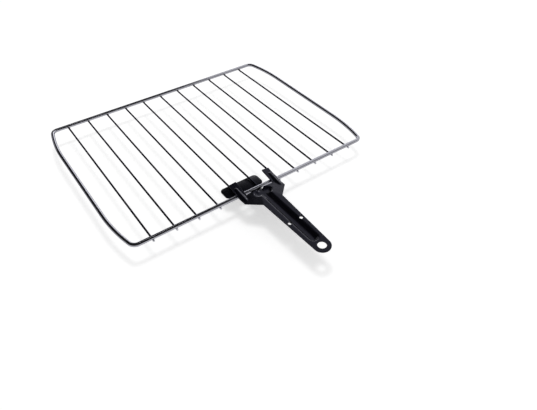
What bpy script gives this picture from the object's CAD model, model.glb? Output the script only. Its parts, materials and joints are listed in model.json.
# %% [markdown]
# # The wire rack of a mini oven, with its lifting handle
# The rack is a chromed steel rod, bent into a rounded rectangle, with thinner wires welded under it.
# The handle is one pressed sheet of steel, painted black, which slides over the front rail. A small
# jaw under it grips the rack from below. The CAD model already holds every size. This lesson adds
# what the CAD model leaves out: one unbroken frame rod, weld swellings, rounded folds and cut edges,
# chrome, paint, and a small photo studio.

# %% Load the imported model
import json
from math import cos, radians, sin

import bpy
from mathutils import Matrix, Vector
from mathutils.kdtree import KDTree

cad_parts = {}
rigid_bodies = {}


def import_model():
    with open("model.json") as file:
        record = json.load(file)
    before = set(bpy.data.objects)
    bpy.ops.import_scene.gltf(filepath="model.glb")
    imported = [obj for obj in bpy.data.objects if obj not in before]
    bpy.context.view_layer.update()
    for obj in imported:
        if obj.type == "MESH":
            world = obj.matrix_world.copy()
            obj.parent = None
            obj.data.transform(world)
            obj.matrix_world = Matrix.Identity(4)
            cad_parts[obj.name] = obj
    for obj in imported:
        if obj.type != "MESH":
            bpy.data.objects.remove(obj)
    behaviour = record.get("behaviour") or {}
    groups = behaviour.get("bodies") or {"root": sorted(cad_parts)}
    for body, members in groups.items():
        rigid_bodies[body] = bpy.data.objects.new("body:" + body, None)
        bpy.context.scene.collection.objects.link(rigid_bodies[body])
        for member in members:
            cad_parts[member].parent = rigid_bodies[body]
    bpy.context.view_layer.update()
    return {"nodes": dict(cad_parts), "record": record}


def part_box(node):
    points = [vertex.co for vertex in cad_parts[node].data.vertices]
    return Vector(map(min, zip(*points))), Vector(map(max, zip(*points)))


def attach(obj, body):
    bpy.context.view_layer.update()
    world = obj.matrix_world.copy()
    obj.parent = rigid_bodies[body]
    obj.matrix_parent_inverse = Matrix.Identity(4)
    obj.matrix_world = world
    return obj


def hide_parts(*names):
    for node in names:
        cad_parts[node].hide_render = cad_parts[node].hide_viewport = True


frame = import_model()

# %% [markdown]
# ## Small helpers
# Operators work on whatever is selected, as they do by hand. So each step first clears the selection,
# then picks one object. A finished piece keeps its place in its mesh, and its object stays at the
# origin: that is what applying the transform does. In edit mode, a short test picks the vertices,
# edges or faces that an operator is to work on.

# %% Helpers for selecting and finishing


def pick(piece):
    """Leaves only this piece selected, and makes it the active one."""
    bpy.ops.object.select_all(action="DESELECT")
    piece.select_set(True)
    bpy.context.view_layer.objects.active = piece


def settle(piece):
    """Moves the object's place, turn and scale into its mesh."""
    pick(piece)
    bpy.ops.object.transform_apply(location=True, rotation=True, scale=True)


def edit(piece, kind="VERT"):
    """Opens a piece in edit mode with nothing selected."""
    pick(piece)
    bpy.ops.object.mode_set(mode="EDIT")
    bpy.ops.mesh.select_mode(type=kind)
    bpy.ops.mesh.select_all(action="DESELECT")


def close_edit():
    """Goes back to object mode."""
    bpy.ops.object.mode_set(mode="OBJECT")


def choose(piece, kind, wanted):
    """Selects the vertices, edges or faces that a test picks, and opens the piece in edit mode."""
    edit(piece, kind)
    close_edit()
    mesh = piece.data
    items = {"VERT": mesh.vertices, "EDGE": mesh.edges, "FACE": mesh.polygons}[kind]
    for item in items:
        item.select = wanted(item)
    bpy.ops.object.mode_set(mode="EDIT")


# %% Helpers for measuring
SAME_PLACE = 0.0001


def middle(node):
    """The middle of a CAD node's box."""
    low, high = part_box(node)
    return (low + high) / 2


def extent(piece):
    """The lowest and the highest corner of the box round a piece's mesh."""
    places = [vertex.co for vertex in piece.data.vertices]
    low = Vector([min(place[axis] for place in places) for axis in range(3)])
    high = Vector([max(place[axis] for place in places) for axis in range(3)])
    return low, high


def lies_at(piece, edge, axis, place):
    """Tells whether both ends of an edge lie at one place along an axis."""
    return all(abs(piece.data.vertices[i].co[axis] - place) < SAME_PLACE for i in edge.vertices)


# %% [markdown]
# ## The camera
# The photo was taken from the left of the handle, looking down at about 43 degrees. The camera's place
# was found from the evenly spaced wires, so the rack lies in the picture as it does in the photo.

# %% Camera
CAMERA_AT = Vector((-0.26535, -0.45358, 0.41419))
CAMERA_HEADING = radians(-36.117)
CAMERA_DOWN = radians(43.386)
CAMERA_LENS = 32.65
CAMERA_SENSOR = 36
CAMERA_SHIFT = (-0.0007, 0.0002)
NEAREST_SEEN = 0.01

bpy.ops.object.select_all(action="DESELECT")
bpy.ops.object.camera_add(location=CAMERA_AT, rotation=(radians(90) - CAMERA_DOWN, 0, CAMERA_HEADING))
camera = bpy.context.object
camera.data.sensor_width = CAMERA_SENSOR
camera.data.lens = CAMERA_LENS
camera.data.clip_start = NEAREST_SEEN
camera.data.shift_x, camera.data.shift_y = CAMERA_SHIFT
bpy.context.scene.camera = camera
print(f"camera: {CAMERA_LENS} mm lens, {1000 * CAMERA_AT.length:.0f} mm from the middle of the part")

# %% [markdown]
# ## The frame rod
# The real frame is a single rod, bent at the corners and closed by a weld. The CAD model splits it
# into straight runs and bends. Here a ring of the rod's thickness is drawn once round the rack:
# extruded along each straight run, and spun round the centre of each bend. A swept curve would do
# too, but an operator for each run and bend follows the way the real rod is bent. The result is one
# skin, so a highlight runs round a corner without a seam.

# %% Sizes of the frame rod
BEND_RADIUS = 0.009
BEND_ANGLE = radians(76)
SWEEP_RADIUS = 0.25
SWEEP_ANGLE = radians(90) - BEND_ANGLE

front_low, front_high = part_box("front_rail")
side_low, side_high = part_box("right_rail")
front = middle("front_rail")
rear = middle("rear_rail")
rod_radius = (front_high.z - front_low.z) / 2
corner_x = front_high.x
sweep_x = middle("right_rail").x - SWEEP_RADIUS
print(f"frame rod: {2000 * rod_radius:.1f} mm thick, straight for {2000 * corner_x:.0f} mm along the front")

# %% One ring drawn round the whole frame
RING_POINTS = 40
BEND_STEPS = 20
SWEEP_STEPS = 12
MERGE_RING = 0.00005

bpy.ops.object.select_all(action="DESELECT")
bpy.ops.mesh.primitive_circle_add(
    vertices=RING_POINTS, radius=rod_radius,
    location=(-corner_x, front.y, front.z), rotation=(0, radians(90), 0),
)
frame_rod = bpy.context.object
frame_rod.name = "frame_rod"
settle(frame_rod)


def run_along(x, y):
    bpy.ops.mesh.extrude_region_move(TRANSFORM_OT_translate={"value": (x, y, 0)})


def turn_left(x, y, angle, steps):
    """Spins the ring to the left round a point. The operator counts that way as negative."""
    bpy.ops.mesh.spin(steps=steps, angle=-angle, center=(x, y, front.z), axis=(0, 0, 1))


# Each half runs along one rail, round its corner, along the side, and round into the other rail.
edit(frame_rod)
bpy.ops.mesh.select_all(action="SELECT")
at_front = (front.y + BEND_RADIUS, side_low.y)
at_rear = (rear.y - BEND_RADIUS, side_high.y)
for way, (bend_in, side_in), (bend_out, side_out) in ((1, at_front, at_rear), (-1, at_rear, at_front)):
    run_along(way * 2 * corner_x, 0)
    turn_left(way * corner_x, bend_in, BEND_ANGLE, BEND_STEPS)
    turn_left(way * sweep_x, side_in, SWEEP_ANGLE, SWEEP_STEPS)
    run_along(0, side_out - side_in)
    turn_left(way * sweep_x, side_out, SWEEP_ANGLE, SWEEP_STEPS)
    turn_left(way * corner_x, bend_out, BEND_ANGLE, BEND_STEPS)
bpy.ops.mesh.select_all(action="SELECT")
bpy.ops.mesh.remove_doubles(threshold=MERGE_RING)
bpy.ops.mesh.normals_make_consistent(inside=False)
close_edit()
bpy.ops.object.shade_smooth()
rod_low, rod_high = extent(frame_rod)
print("frame rod box, in millimetres:", [round(1000 * x, 1) for x in (*rod_low, *rod_high)])

# %% The rod stands for the twelve CAD lengths
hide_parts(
    *[node for node in frame["nodes"] if node.endswith("_rail") or node.startswith(("bend_", "sweep_"))],
)
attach(frame_rod, "rack")

# %% [markdown]
# ## The cross wires
# Each wire lies under the front and rear rails, and sinks a little into both where a welding current
# melted them together. Its cut ends stand out past the rails. It is straight and round, so a cylinder
# with rounded ends is all it takes, and a small swelling of metal at each weld. The others are copies
# of it, moved to their places, because the real wires are cut and welded all alike.

# %% One cross wire
WIRE_POINTS = 24
END_ROUNDING = 0.0003
END_STEPS = 3

wire_nodes = sorted(node for node in frame["nodes"] if node.startswith("cross_wire_"))
wire_low, wire_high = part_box(wire_nodes[0])
wire = middle(wire_nodes[0])
wire_radius = (wire_high.z - wire_low.z) / 2

bpy.ops.object.select_all(action="DESELECT")
bpy.ops.mesh.primitive_cylinder_add(
    vertices=WIRE_POINTS, radius=wire_radius, depth=wire_high.y - wire_low.y,
    location=wire, rotation=(radians(90), 0, 0),
)
first_wire = bpy.context.object
settle(first_wire)
choose(
    first_wire, "EDGE",
    lambda edge: any(lies_at(first_wire, edge, 1, end) for end in (wire_low.y, wire_high.y)),
)
bpy.ops.mesh.bevel(offset=END_ROUNDING, segments=END_STEPS, affect="EDGES")
close_edit()
print(f"one wire: {2000 * wire_radius:.1f} mm thick, {1000 * (wire_high.y - wire_low.y):.0f} mm long")

# %% Weld swellings, joined to the wire
WELD_SIZE = Vector((0.0019, 0.0023, 0.0011))
WELD_POINTS = 24
WELD_RINGS = 12
WIRE_SMOOTH = radians(35)

welds = []
for rail in (front, rear):
    bpy.ops.object.select_all(action="DESELECT")
    bpy.ops.mesh.primitive_uv_sphere_add(
        segments=WELD_POINTS, ring_count=WELD_RINGS, radius=1, scale=WELD_SIZE,
        location=(wire.x, rail.y, (wire_high.z + rail.z - rod_radius) / 2),
    )
    settle(bpy.context.object)
    welds.append(bpy.context.object)
pick(first_wire)
for weld in welds:
    weld.select_set(True)
bpy.ops.object.join()
bpy.ops.object.shade_smooth_by_angle(angle=WIRE_SMOOTH)
print(f"welds on each wire: {len(welds)}")

# %% Eleven copies, each with its own mesh
wires = []
for node in wire_nodes:
    copy = bpy.data.objects.new(node + "_dressed", first_wire.data.copy())
    bpy.context.scene.collection.objects.link(copy)
    copy.location.x = middle(node).x - wire.x
    settle(copy)
    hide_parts(node)
    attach(copy, "rack")
    wires.append(copy)
bpy.data.objects.remove(first_wire)
print(f"{len(wires)} wires, {1000 * (middle(wire_nodes[1]).x - wire.x):.0f} mm apart")

# %% [markdown]
# ## The pressed handle
# A press leaves soft folds, while shears and punches leave crisp edges. The CAD sheet has both as sharp
# corners. A bevel would need room beside each fold, which the narrow beads on the arms don't have. So
# only the top skin of the CAD sheet is kept, and squares are ruled on it as on graph paper. Smoothing
# then lowers or lifts the corners of these squares near each fold, until the fold is soft. At the end
# the skin gets the sheet's thickness downwards, and its cut edges lose their sharpness.

# %% Helpers for CAD copies
SAME_POINT = 1e-6
SAME_FACE = radians(0.5)


def copy_of(node, name):
    """A copy of a CAD node, with its loose triangles merged into whole flat faces."""
    piece = bpy.data.objects.new(name, frame["nodes"][node].data.copy())
    bpy.context.scene.collection.objects.link(piece)
    pick(piece)
    bpy.ops.mesh.customdata_custom_splitnormals_clear()
    edit(piece)
    bpy.ops.mesh.select_all(action="SELECT")
    bpy.ops.mesh.remove_doubles(threshold=SAME_POINT)
    bpy.ops.mesh.dissolve_limited(angle_limit=SAME_FACE)
    close_edit()
    return piece


def apply(piece, modifier):
    pick(piece)
    bpy.ops.object.modifier_apply(modifier=modifier.name)


def faces_beside(mesh):
    """The faces on either side of each edge."""
    beside = {edge.key: [] for edge in mesh.edges}
    for face in mesh.polygons:
        for key in face.edge_keys:
            beside[key].append(face)
    return beside


# %% Top skin of the sheet
# Faces that look sideways or down go, and so do the crumbs that aren't joined to the handle's tip.
SIDEWAYS = 0.3

handle = copy_of("handle_plate", "pressed_handle")
handle_low, handle_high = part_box("handle_plate")
handle_x = middle("handle_plate").x

choose(handle, "FACE", lambda face: face.normal.z < SIDEWAYS)
bpy.ops.mesh.delete(type="FACE")
close_edit()
tip = min(handle.data.vertices, key=lambda vertex: vertex.co.y).index
choose(handle, "VERT", lambda vertex: vertex.index == tip)
bpy.ops.mesh.select_linked()
bpy.ops.mesh.select_all(action="INVERT")
bpy.ops.mesh.delete(type="VERT")
close_edit()
print(f"{handle.name}: top skin of {len(handle.data.polygons)} faces")

# %% Where the folds run
# Three kinds of fold: those of the valley, those of the beads on the arms, and slight ones elsewhere.
# The facets of a round form also meet at slight angles. They are steep, and are no folds.
NO_FOLD = radians(2)
SLIGHT_FOLD = radians(18)
STEEP = 0.9
BEADS_FROM = 0.020
FOLD_SAMPLE = 0.0003

folds = {"channel": [], "bead": [], "slight": []}
beside = faces_beside(handle.data)
for edge in handle.data.edges:
    faces = beside[edge.key]
    if len(faces) != 2:
        continue
    angle = faces[0].normal.angle(faces[1].normal)
    facets = angle < SLIGHT_FOLD and min(face.normal.z for face in faces) < STEEP
    if facets or angle < NO_FOLD:
        continue
    first, second = [handle.data.vertices[i].co for i in edge.vertices]
    if angle < SLIGHT_FOLD:
        kind = "slight"
    else:
        kind = "bead" if abs((first.x + second.x) / 2 - handle_x) > BEADS_FROM else "channel"
    steps = max(1, round((second - first).length / FOLD_SAMPLE))
    folds[kind] += [first.lerp(second, (i + 0.5) / steps).copy() for i in range(steps)]
finders = {}
for kind, points in folds.items():
    finders[kind] = KDTree(len(points))
    for i, point in enumerate(points):
        finders[kind].insert((point.x, point.y, 0), i)
    finders[kind].balance()
print("points on folds:", {kind: len(points) for kind, points in folds.items()})

# %% Rule squares on the skin
# The old edges are marked as seams and dissolved at the end, so that only the squares are left.
SQUARE = 0.0005
FIRST_RULE = 0.73
EDGE_BAND = 0.00022
ON_RULE = 1e-8

beside = faces_beside(handle.data)
choose(handle, "EDGE", lambda edge: len(beside[edge.key]) == 2)
bpy.ops.mesh.mark_seam(clear=False)
bpy.ops.mesh.select_mode(type="FACE")
bpy.ops.mesh.select_all(action="SELECT")
bpy.ops.mesh.inset(thickness=EDGE_BAND, use_boundary=True, use_even_offset=True)
for axis, across in ((0, (1, 0, 0)), (1, (0, 1, 0))):
    for i in range(int((handle_high[axis] - handle_low[axis]) / SQUARE)):
        rule = [0, 0, 0]
        rule[axis] = handle_low[axis] + (i + FIRST_RULE) * SQUARE
        bpy.ops.mesh.select_all(action="SELECT")
        bpy.ops.mesh.bisect(plane_co=rule, plane_no=across, threshold=ON_RULE)
close_edit()
choose(handle, "EDGE", lambda edge: edge.use_seam)
bpy.ops.mesh.dissolve_edges(use_verts=True)
close_edit()
print(f"{handle.name}: {len(handle.data.polygons)} squares and edge pieces")

# %% Soften the folds
# Smoothing has its full strength up to the first distance from a fold, and none past the second.
REACH = {"channel": (0.0018, 0.0042), "bead": (0.0006, 0.0014), "slight": (0.0018, 0.0042)}
SOFTNESS = {"channel": 1, "bead": 0.22, "slight": 1}
ROUNDS = 12

near_folds = handle.vertex_groups.new(name="near folds")
for vertex in handle.data.vertices:
    amount = 0
    for kind, finder in finders.items():
        distance = finder.find((vertex.co.x, vertex.co.y, 0))[2]
        full, none = REACH[kind]
        amount = max(amount, SOFTNESS[kind] * min(1, max(0, (none - distance) / (none - full))))
    near_folds.add([vertex.index], amount, "REPLACE")
soften = handle.modifiers.new("Soft folds", "SMOOTH")
soften.use_x = False
soften.use_y = False
soften.factor = 1
soften.iterations = ROUNDS
soften.vertex_group = near_folds.name
apply(handle, soften)
handle.vertex_groups.clear()
print(f"{handle.name}: heights near the folds smoothed {ROUNDS} times")

# %% Thickness of the sheet
# The arms rise, so their undersides would stand out past their tips. The tips step back by that much.
SHEET = 0.0015
DOWNWARDS = -1
TIP_LENGTH = 0.003
TIP_BACK = 0.00027
TIP_DOWN = 0.00005

choose(handle, "VERT", lambda vertex: vertex.co.y > handle_high.y - TIP_LENGTH)
bpy.ops.transform.translate(value=(0, -TIP_BACK, -TIP_DOWN))
close_edit()
thick = handle.modifiers.new("Sheet", "SOLIDIFY")
thick.thickness = SHEET
thick.offset = DOWNWARDS
apply(handle, thick)
print(f"{handle.name}: {1000 * SHEET} mm thick")

# %% Break the cut edges
# The corners of the top skin's rim go down a little, and those of the bottom skin's rim go up.
EDGE_DROP = 0.00016
FOLD_SMOOTH = radians(60)

rim, above, below = set(), set(), set()
for face in handle.data.polygons:
    group = rim if abs(face.normal.z) < SIDEWAYS else above if face.normal.z > 0 else below
    group.update(face.vertices)
for skin, drop in ((above, -EDGE_DROP), (below, EDGE_DROP)):
    choose(handle, "VERT", lambda vertex: vertex.index in rim and vertex.index in skin)
    bpy.ops.transform.translate(value=(0, 0, drop))
    close_edit()
pick(handle)
bpy.ops.object.shade_smooth_by_angle(angle=FOLD_SMOOTH)
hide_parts("handle_plate")
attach(handle, "handle")
low, high = extent(handle)
inside = [*(low - handle_low), *(handle_high - high)]
print("handle, inside its CAD box by these micrometres:", [round(1e6 * x) for x in inside])

# %% [markdown]
# ## The lower jaw
# The jaw is a strip of steel that is cut out, bent twice and welded under the handle's valley. Its
# bends are soft in the CAD model already, so only its cut edges are broken, with a small bevel.

# %% Lower jaw
CUT_ROUNDING = 0.0002
CUT_ANGLE = radians(45)
CUT_STEPS = 2
JAW_SMOOTH = radians(40)

jaw = copy_of("lower_jaw", "bent_jaw")
bevel = jaw.modifiers.new("Broken edges", "BEVEL")
bevel.limit_method = "ANGLE"
bevel.angle_limit = CUT_ANGLE
bevel.width = CUT_ROUNDING
bevel.segments = CUT_STEPS
bevel.use_clamp_overlap = False
apply(jaw, bevel)
bpy.ops.object.shade_smooth_by_angle(angle=JAW_SMOOTH)
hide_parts("lower_jaw")
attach(jaw, "handle")
print(f"{jaw.name}: {len(jaw.data.polygons)} faces")

# %% [markdown]
# ## Materials
# Chrome shows little of itself and much of the room. Its look comes from low roughness, broken up by
# faint handling marks and by the slight waves of a drawn and plated rod. The paint is a baked
# semi-gloss black: almost no colour, an even sheen, and a fine orange-peel surface. Every pattern is
# a noise on Object coordinates, so it stays on its piece when the handle is drawn off.

# %% Material helpers


def new_material(name):
    """A material with its node tree, its shader and its Object coordinates."""
    material = bpy.data.materials.new(name)
    material.use_nodes = True
    tree = material.node_tree
    place = tree.nodes.new("ShaderNodeTexCoord").outputs["Object"]
    return material, tree, tree.nodes["Principled BSDF"], place


def noise(tree, place, scale, detail=2):
    texture = tree.nodes.new("ShaderNodeTexNoise")
    texture.inputs["Scale"].default_value = scale
    texture.inputs["Detail"].default_value = detail
    tree.links.new(place, texture.inputs["Vector"])
    return texture.outputs["Fac"]


def spread(tree, value, low, high, start=0.3, stop=0.7):
    """Stretches a value from start and stop to low and high. A noise lies mostly within 0.3 to 0.7."""
    node = tree.nodes.new("ShaderNodeMapRange")
    node.inputs["From Min"].default_value = start
    node.inputs["From Max"].default_value = stop
    node.inputs["To Min"].default_value = low
    node.inputs["To Max"].default_value = high
    tree.links.new(value, node.inputs["Value"])
    return node.outputs["Result"]


def blend_colours(tree, amount, first, second):
    node = tree.nodes.new("ShaderNodeMix")
    node.data_type = "RGBA"
    node.inputs["A"].default_value = (*first, 1)
    node.inputs["B"].default_value = (*second, 1)
    tree.links.new(amount, node.inputs["Factor"])
    return node.outputs["Result"]


def bump(tree, height, distance):
    node = tree.nodes.new("ShaderNodeBump")
    node.inputs["Distance"].default_value = distance
    tree.links.new(height, node.inputs["Height"])
    return node.outputs["Normal"]


# %% [markdown]
# ## Chrome
# The photo shows a light frame over dark wires, though both are chrome: each mirrors another part of
# the room. One studio can't give both at once, so the wires get a darker chrome, with a brighter and
# duller one at their welded ends. The edge colour darkens what a rod mirrors at a grazing angle. That
# draws the thin outline that keeps a chrome rod apart from a white floor.

# %% Chrome of the frame and of the wires
MARKS_PER_METRE = 55
MARKS_DETAIL = 4
WAVES_PER_METRE = 260
WAVE_HEIGHT = 0.00004


def chrome(name, bright, dull, smooth, rough, edge):
    """A chrome that varies from bright and smooth to dull and rough, and darkens towards its edges."""
    material, tree, shader, place = new_material(name)
    marks = noise(tree, place, MARKS_PER_METRE, MARKS_DETAIL)
    tree.links.new(blend_colours(tree, spread(tree, marks, 0, 1), bright, dull), shader.inputs["Base Color"])
    tree.links.new(spread(tree, marks, smooth, rough), shader.inputs["Roughness"])
    waves = noise(tree, place, WAVES_PER_METRE)
    tree.links.new(bump(tree, waves, WAVE_HEIGHT), shader.inputs["Normal"])
    shader.inputs["Metallic"].default_value = 1
    shader.inputs["Specular Tint"].default_value = (*edge, 1)
    return material


frame_chrome = chrome(
    "frame_chrome", bright=(0.42, 0.42, 0.46), dull=(0.36, 0.36, 0.40),
    smooth=0.06, rough=0.13, edge=(0.08, 0.08, 0.10),
)
wire_chrome = chrome(
    "wire_chrome", bright=(0.045, 0.045, 0.055), dull=(0.03, 0.03, 0.038),
    smooth=0.08, rough=0.18, edge=(0.30, 0.30, 0.34),
)
print("chromes:", frame_chrome.name, "and", wire_chrome.name)

# %% Brighter and duller plating at the welded ends of the wires
END_LENGTH = 0.0052
END_FADE = 0.001
END_COLOUR = (0.75, 0.75, 0.79)
END_ROUGHNESS = 0.55

tree = wire_chrome.node_tree
shader = tree.nodes["Principled BSDF"]
place = tree.nodes.new("ShaderNodeTexCoord").outputs["Object"]
axes = tree.nodes.new("ShaderNodeSeparateXYZ")
tree.links.new(place, axes.inputs["Vector"])
shift = tree.nodes.new("ShaderNodeMath")
shift.operation = "SUBTRACT"
shift.inputs[1].default_value = wire.y
tree.links.new(axes.outputs["Y"], shift.inputs[0])
away = tree.nodes.new("ShaderNodeMath")
away.operation = "ABSOLUTE"
tree.links.new(shift.outputs["Value"], away.inputs[0])
end_starts = (wire_high.y - wire_low.y) / 2 - END_LENGTH
at_end = spread(tree, away.outputs["Value"], 0, 1, end_starts, end_starts + END_FADE)
for socket, kind, value in (("Base Color", "RGBA", (*END_COLOUR, 1)), ("Roughness", "FLOAT", END_ROUGHNESS)):
    ends = tree.nodes.new("ShaderNodeMix")
    ends.data_type = kind
    ends.inputs["B"].default_value = value
    tree.links.new(at_end, ends.inputs["Factor"])
    tree.links.new(shader.inputs[socket].links[0].from_socket, ends.inputs["A"])
    tree.links.new(ends.outputs["Result"], shader.inputs[socket])
print(f"wire ends: brighter over their last {1000 * END_LENGTH:.1f} mm")

# %% Black paint
PEEL_PER_METRE = 1400
PEEL_HEIGHT = 0.00002
SHEEN_PER_METRE = 90
SHEEN_DETAIL = 3
PAINT_TINT = (0.64, 0.64, 1, 1)


def black_paint(name, colour, worn, smooth, rough, gloss):
    """A black paint whose sheen is faintly blue, as the photo's is."""
    material, tree, shader, place = new_material(name)
    sheen = noise(tree, place, SHEEN_PER_METRE, SHEEN_DETAIL)
    tree.links.new(blend_colours(tree, spread(tree, sheen, 0, 1), colour, worn), shader.inputs["Base Color"])
    tree.links.new(spread(tree, sheen, smooth, rough), shader.inputs["Roughness"])
    peel = noise(tree, place, PEEL_PER_METRE)
    tree.links.new(bump(tree, peel, PEEL_HEIGHT), shader.inputs["Normal"])
    shader.inputs["Specular IOR Level"].default_value = gloss
    shader.inputs["Specular Tint"].default_value = PAINT_TINT
    return material


handle_paint = black_paint(
    "handle_paint", colour=(0.0024, 0.0024, 0.0036), worn=(0.0034, 0.0034, 0.0050),
    smooth=0.19, rough=0.25, gloss=0.26,
)
jaw_paint = black_paint(
    "jaw_paint", colour=(0.0024, 0.0024, 0.0034), worn=(0.0036, 0.0036, 0.0048),
    smooth=0.24, rough=0.32, gloss=0.085,
)
print("paints:", handle_paint.name, "and", jaw_paint.name)

# %% Give each piece and each CAD node its material
by_slot = {
    "frame_chrome": frame_chrome,
    "wire_chrome": wire_chrome,
    "handle_paint": handle_paint,
    "jaw_paint": jaw_paint,
}


def dress(piece, material):
    piece.data.materials.clear()
    piece.data.materials.append(material)


dress(frame_rod, frame_chrome)
for copy in wires:
    dress(copy, wire_chrome)
dress(handle, handle_paint)
dress(jaw, jaw_paint)
for part in frame["record"]["subparts"]:
    dress(frame["nodes"][part["node"]], by_slot[part["material_slot"]])
print("materials:", ", ".join(by_slot))

# %% [markdown]
# ## The studio
# The white floor lies a little below the rack, because in the photo each shadow falls well clear of
# its wire. It glows faintly where the camera or a mirror looks, so the background is white without
# more light on the object, and it still takes the object's shadow.

# %% Where the camera or a mirror looks


def any_of(tree, first, second):
    node = tree.nodes.new("ShaderNodeMath")
    node.operation = "MAXIMUM"
    tree.links.new(first, node.inputs[0])
    tree.links.new(second, node.inputs[1])
    return node.outputs["Value"]


def where_seen(tree, unseen, seen):
    """One value where the camera, a mirror or clear glass looks, another for light that only bounces."""
    ray = tree.nodes.new("ShaderNodeLightPath")
    mirrored = any_of(tree, ray.outputs["Is Camera Ray"], ray.outputs["Is Glossy Ray"])
    looked_at = any_of(tree, mirrored, ray.outputs["Is Transmission Ray"])
    return spread(tree, looked_at, unseen, seen, 0, 1)


# %% Floor
FLOOR_SIZE = 12
FLOOR_DROP = 0.021
FLOOR_COLOUR = (0.85, 0.85, 0.85, 1)
FLOOR_GLOW = 0.49

bpy.ops.object.select_all(action="DESELECT")
bpy.ops.mesh.primitive_plane_add(size=FLOOR_SIZE, location=(0, 0, -FLOOR_DROP))
floor = bpy.context.object
floor.name = "floor"
settle(floor)

floor_paper = bpy.data.materials.new("floor_paper")
floor_paper.use_nodes = True
tree = floor_paper.node_tree
tree.nodes.clear()
paper = tree.nodes.new("ShaderNodeBsdfDiffuse")
paper.inputs["Color"].default_value = FLOOR_COLOUR
glow = tree.nodes.new("ShaderNodeEmission")
tree.links.new(where_seen(tree, 0, FLOOR_GLOW), glow.inputs["Strength"])
both = tree.nodes.new("ShaderNodeAddShader")
tree.links.new(paper.outputs["BSDF"], both.inputs[0])
tree.links.new(glow.outputs["Emission"], both.inputs[1])
out = tree.nodes.new("ShaderNodeOutputMaterial")
tree.links.new(both.outputs["Shader"], out.inputs["Surface"])
dress(floor, floor_paper)
print(f"floor: {1000 * FLOOR_DROP:.0f} mm below the part")

# %% [markdown]
# ## Sheets for the chrome to mirror
# Chrome on white needs something dark to mirror, or it vanishes. As in a real product photo, a large
# dark cloth hangs over the set, out of the camera's sight, with walls at the left and in front. To its
# right hangs a grey panel with a wall in front, because the photo's frame turns from dark to mid-grey
# towards the right. Neither sheet throws a shadow or takes light from the set, so they change nothing
# but what is mirrored.

# %% A helper that hangs a sheet over the set
SHEET_HEIGHT = 1.0
SHEET_NEAR = -3.0


def hang(name, left, right, far, walls, values):
    """Hangs a level sheet over the set, and pulls some of its edges down as walls.

    walls gives an axis and a place along it for each wall, and values are for the shader's sockets.
    """
    bpy.ops.object.select_all(action="DESELECT")
    bpy.ops.mesh.primitive_plane_add(size=1)
    sheet = bpy.context.object
    sheet.name = name
    sheet.scale = (right - left, far - SHEET_NEAR, 1)
    sheet.location = ((left + right) / 2, (far + SHEET_NEAR) / 2, SHEET_HEIGHT)
    settle(sheet)
    choose(sheet, "EDGE", lambda edge: any(lies_at(sheet, edge, axis, place) for axis, place in walls))
    bpy.ops.mesh.extrude_region_move(TRANSFORM_OT_translate={"value": (0, 0, -SHEET_HEIGHT)})
    close_edit()
    sheet.visible_camera = False
    sheet.visible_diffuse = False
    sheet.visible_shadow = False
    material = bpy.data.materials.new(name)
    material.use_nodes = True
    for socket, value in values.items():
        material.node_tree.nodes["Principled BSDF"].inputs[socket].default_value = value
    dress(sheet, material)
    print(f"{name}: from x = {left} to {right} m")


# %% Dark cloth and grey panel
CLOTH_LEFT = -1.6
CLOTH_RIGHT = 0.54
CLOTH_FAR = 3.0
PANEL_RIGHT = 2.6
PANEL_FAR = -0.8
BLACK_CLOTH = {"Base Color": (0.03, 0.03, 0.03, 1), "Roughness": 1}
GREY_PANEL = {
    "Base Color": (0, 0, 0, 1), "Specular IOR Level": 0,
    "Emission Color": (1, 1, 1, 1), "Emission Strength": 0.38,
}

hang("dark_cloth", CLOTH_LEFT, CLOTH_RIGHT, CLOTH_FAR, ((0, CLOTH_LEFT), (1, SHEET_NEAR)), BLACK_CLOTH)
hang("grey_panel", CLOTH_RIGHT, PANEL_RIGHT, PANEL_FAR, ((1, SHEET_NEAR),), GREY_PANEL)

# %% [markdown]
# ## Light
# The room gives soft light from all sides, and looks white in a mirror. A soft box almost overhead
# throws soft shadows straight down, as in the photo. A long low one behind on the right draws light
# lines on the folds and edges of the black handle, which would be one black shape without them.

# %% Room light
ROOM_LIGHT = 0.40

world = bpy.data.worlds.new("studio")
bpy.context.scene.world = world
world.use_nodes = True
room = world.node_tree.nodes["Background"]
room.inputs["Color"].default_value = (1, 1, 1, 1)
world.node_tree.links.new(where_seen(world.node_tree, ROOM_LIGHT, 1), room.inputs["Strength"])
print(f"room light: {ROOM_LIGHT}")

# %% Lamps
SUBJECT = Vector((0, -0.07, 0.005))


def soft_box(name, azimuth, elevation, distance, width, height, power):
    """A soft box that faces the subject. Azimuth is in degrees to the right of +Y."""
    turn, rise = radians(azimuth), radians(elevation)
    way = Vector((sin(turn) * cos(rise), cos(turn) * cos(rise), sin(rise)))
    bpy.ops.object.select_all(action="DESELECT")
    bpy.ops.object.light_add(type="AREA", location=SUBJECT + distance * way)
    lamp = bpy.context.object
    lamp.name = name
    lamp.rotation_euler = way.to_track_quat("Z", "Y").to_euler()
    lamp.data.shape = "RECTANGLE"
    lamp.data.size = width
    lamp.data.size_y = height
    lamp.data.energy = power
    print(f"{name}: {power} W")


soft_box("key_light", azimuth=36, elevation=84, distance=1.5, width=0.42, height=0.42, power=6.0)
soft_box("rim_light", azimuth=48, elevation=12, distance=1.6, width=1.4, height=0.4, power=5.0)

# %% Colour as it is written, sizes, and the end
bpy.context.scene.view_settings.view_transform = "Standard"
